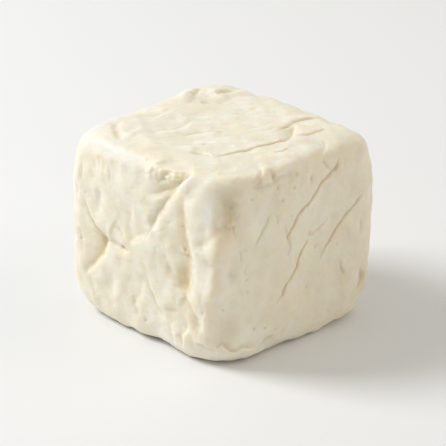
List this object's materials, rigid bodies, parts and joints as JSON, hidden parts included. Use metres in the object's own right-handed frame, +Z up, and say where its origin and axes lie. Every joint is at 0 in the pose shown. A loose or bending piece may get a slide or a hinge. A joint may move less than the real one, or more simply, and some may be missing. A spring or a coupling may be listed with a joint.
{
  "type": "halloumi block",
  "caption": "Squared-up block of pressed white cheese with rounded edges, folds and fine creases, resting on its flattened underside.",
  "frame": {"origin": "centre of the bounding box in plan, at the level of the flat underside that the block rests on", "axes": "+Z up from the flat underside; the side with the torn upper corner looks along -Y and the side with the three slanting creases looks along +X"},
  "size_m": [0.065, 0.0622, 0.0568],
  "materials": {
    "halloumi": "moist, slightly waxy, cream white with yellower creases"
  },
  "bodies": {
    "root": {"halloumi_block": "halloumi"}
  },
  "joints": []
}
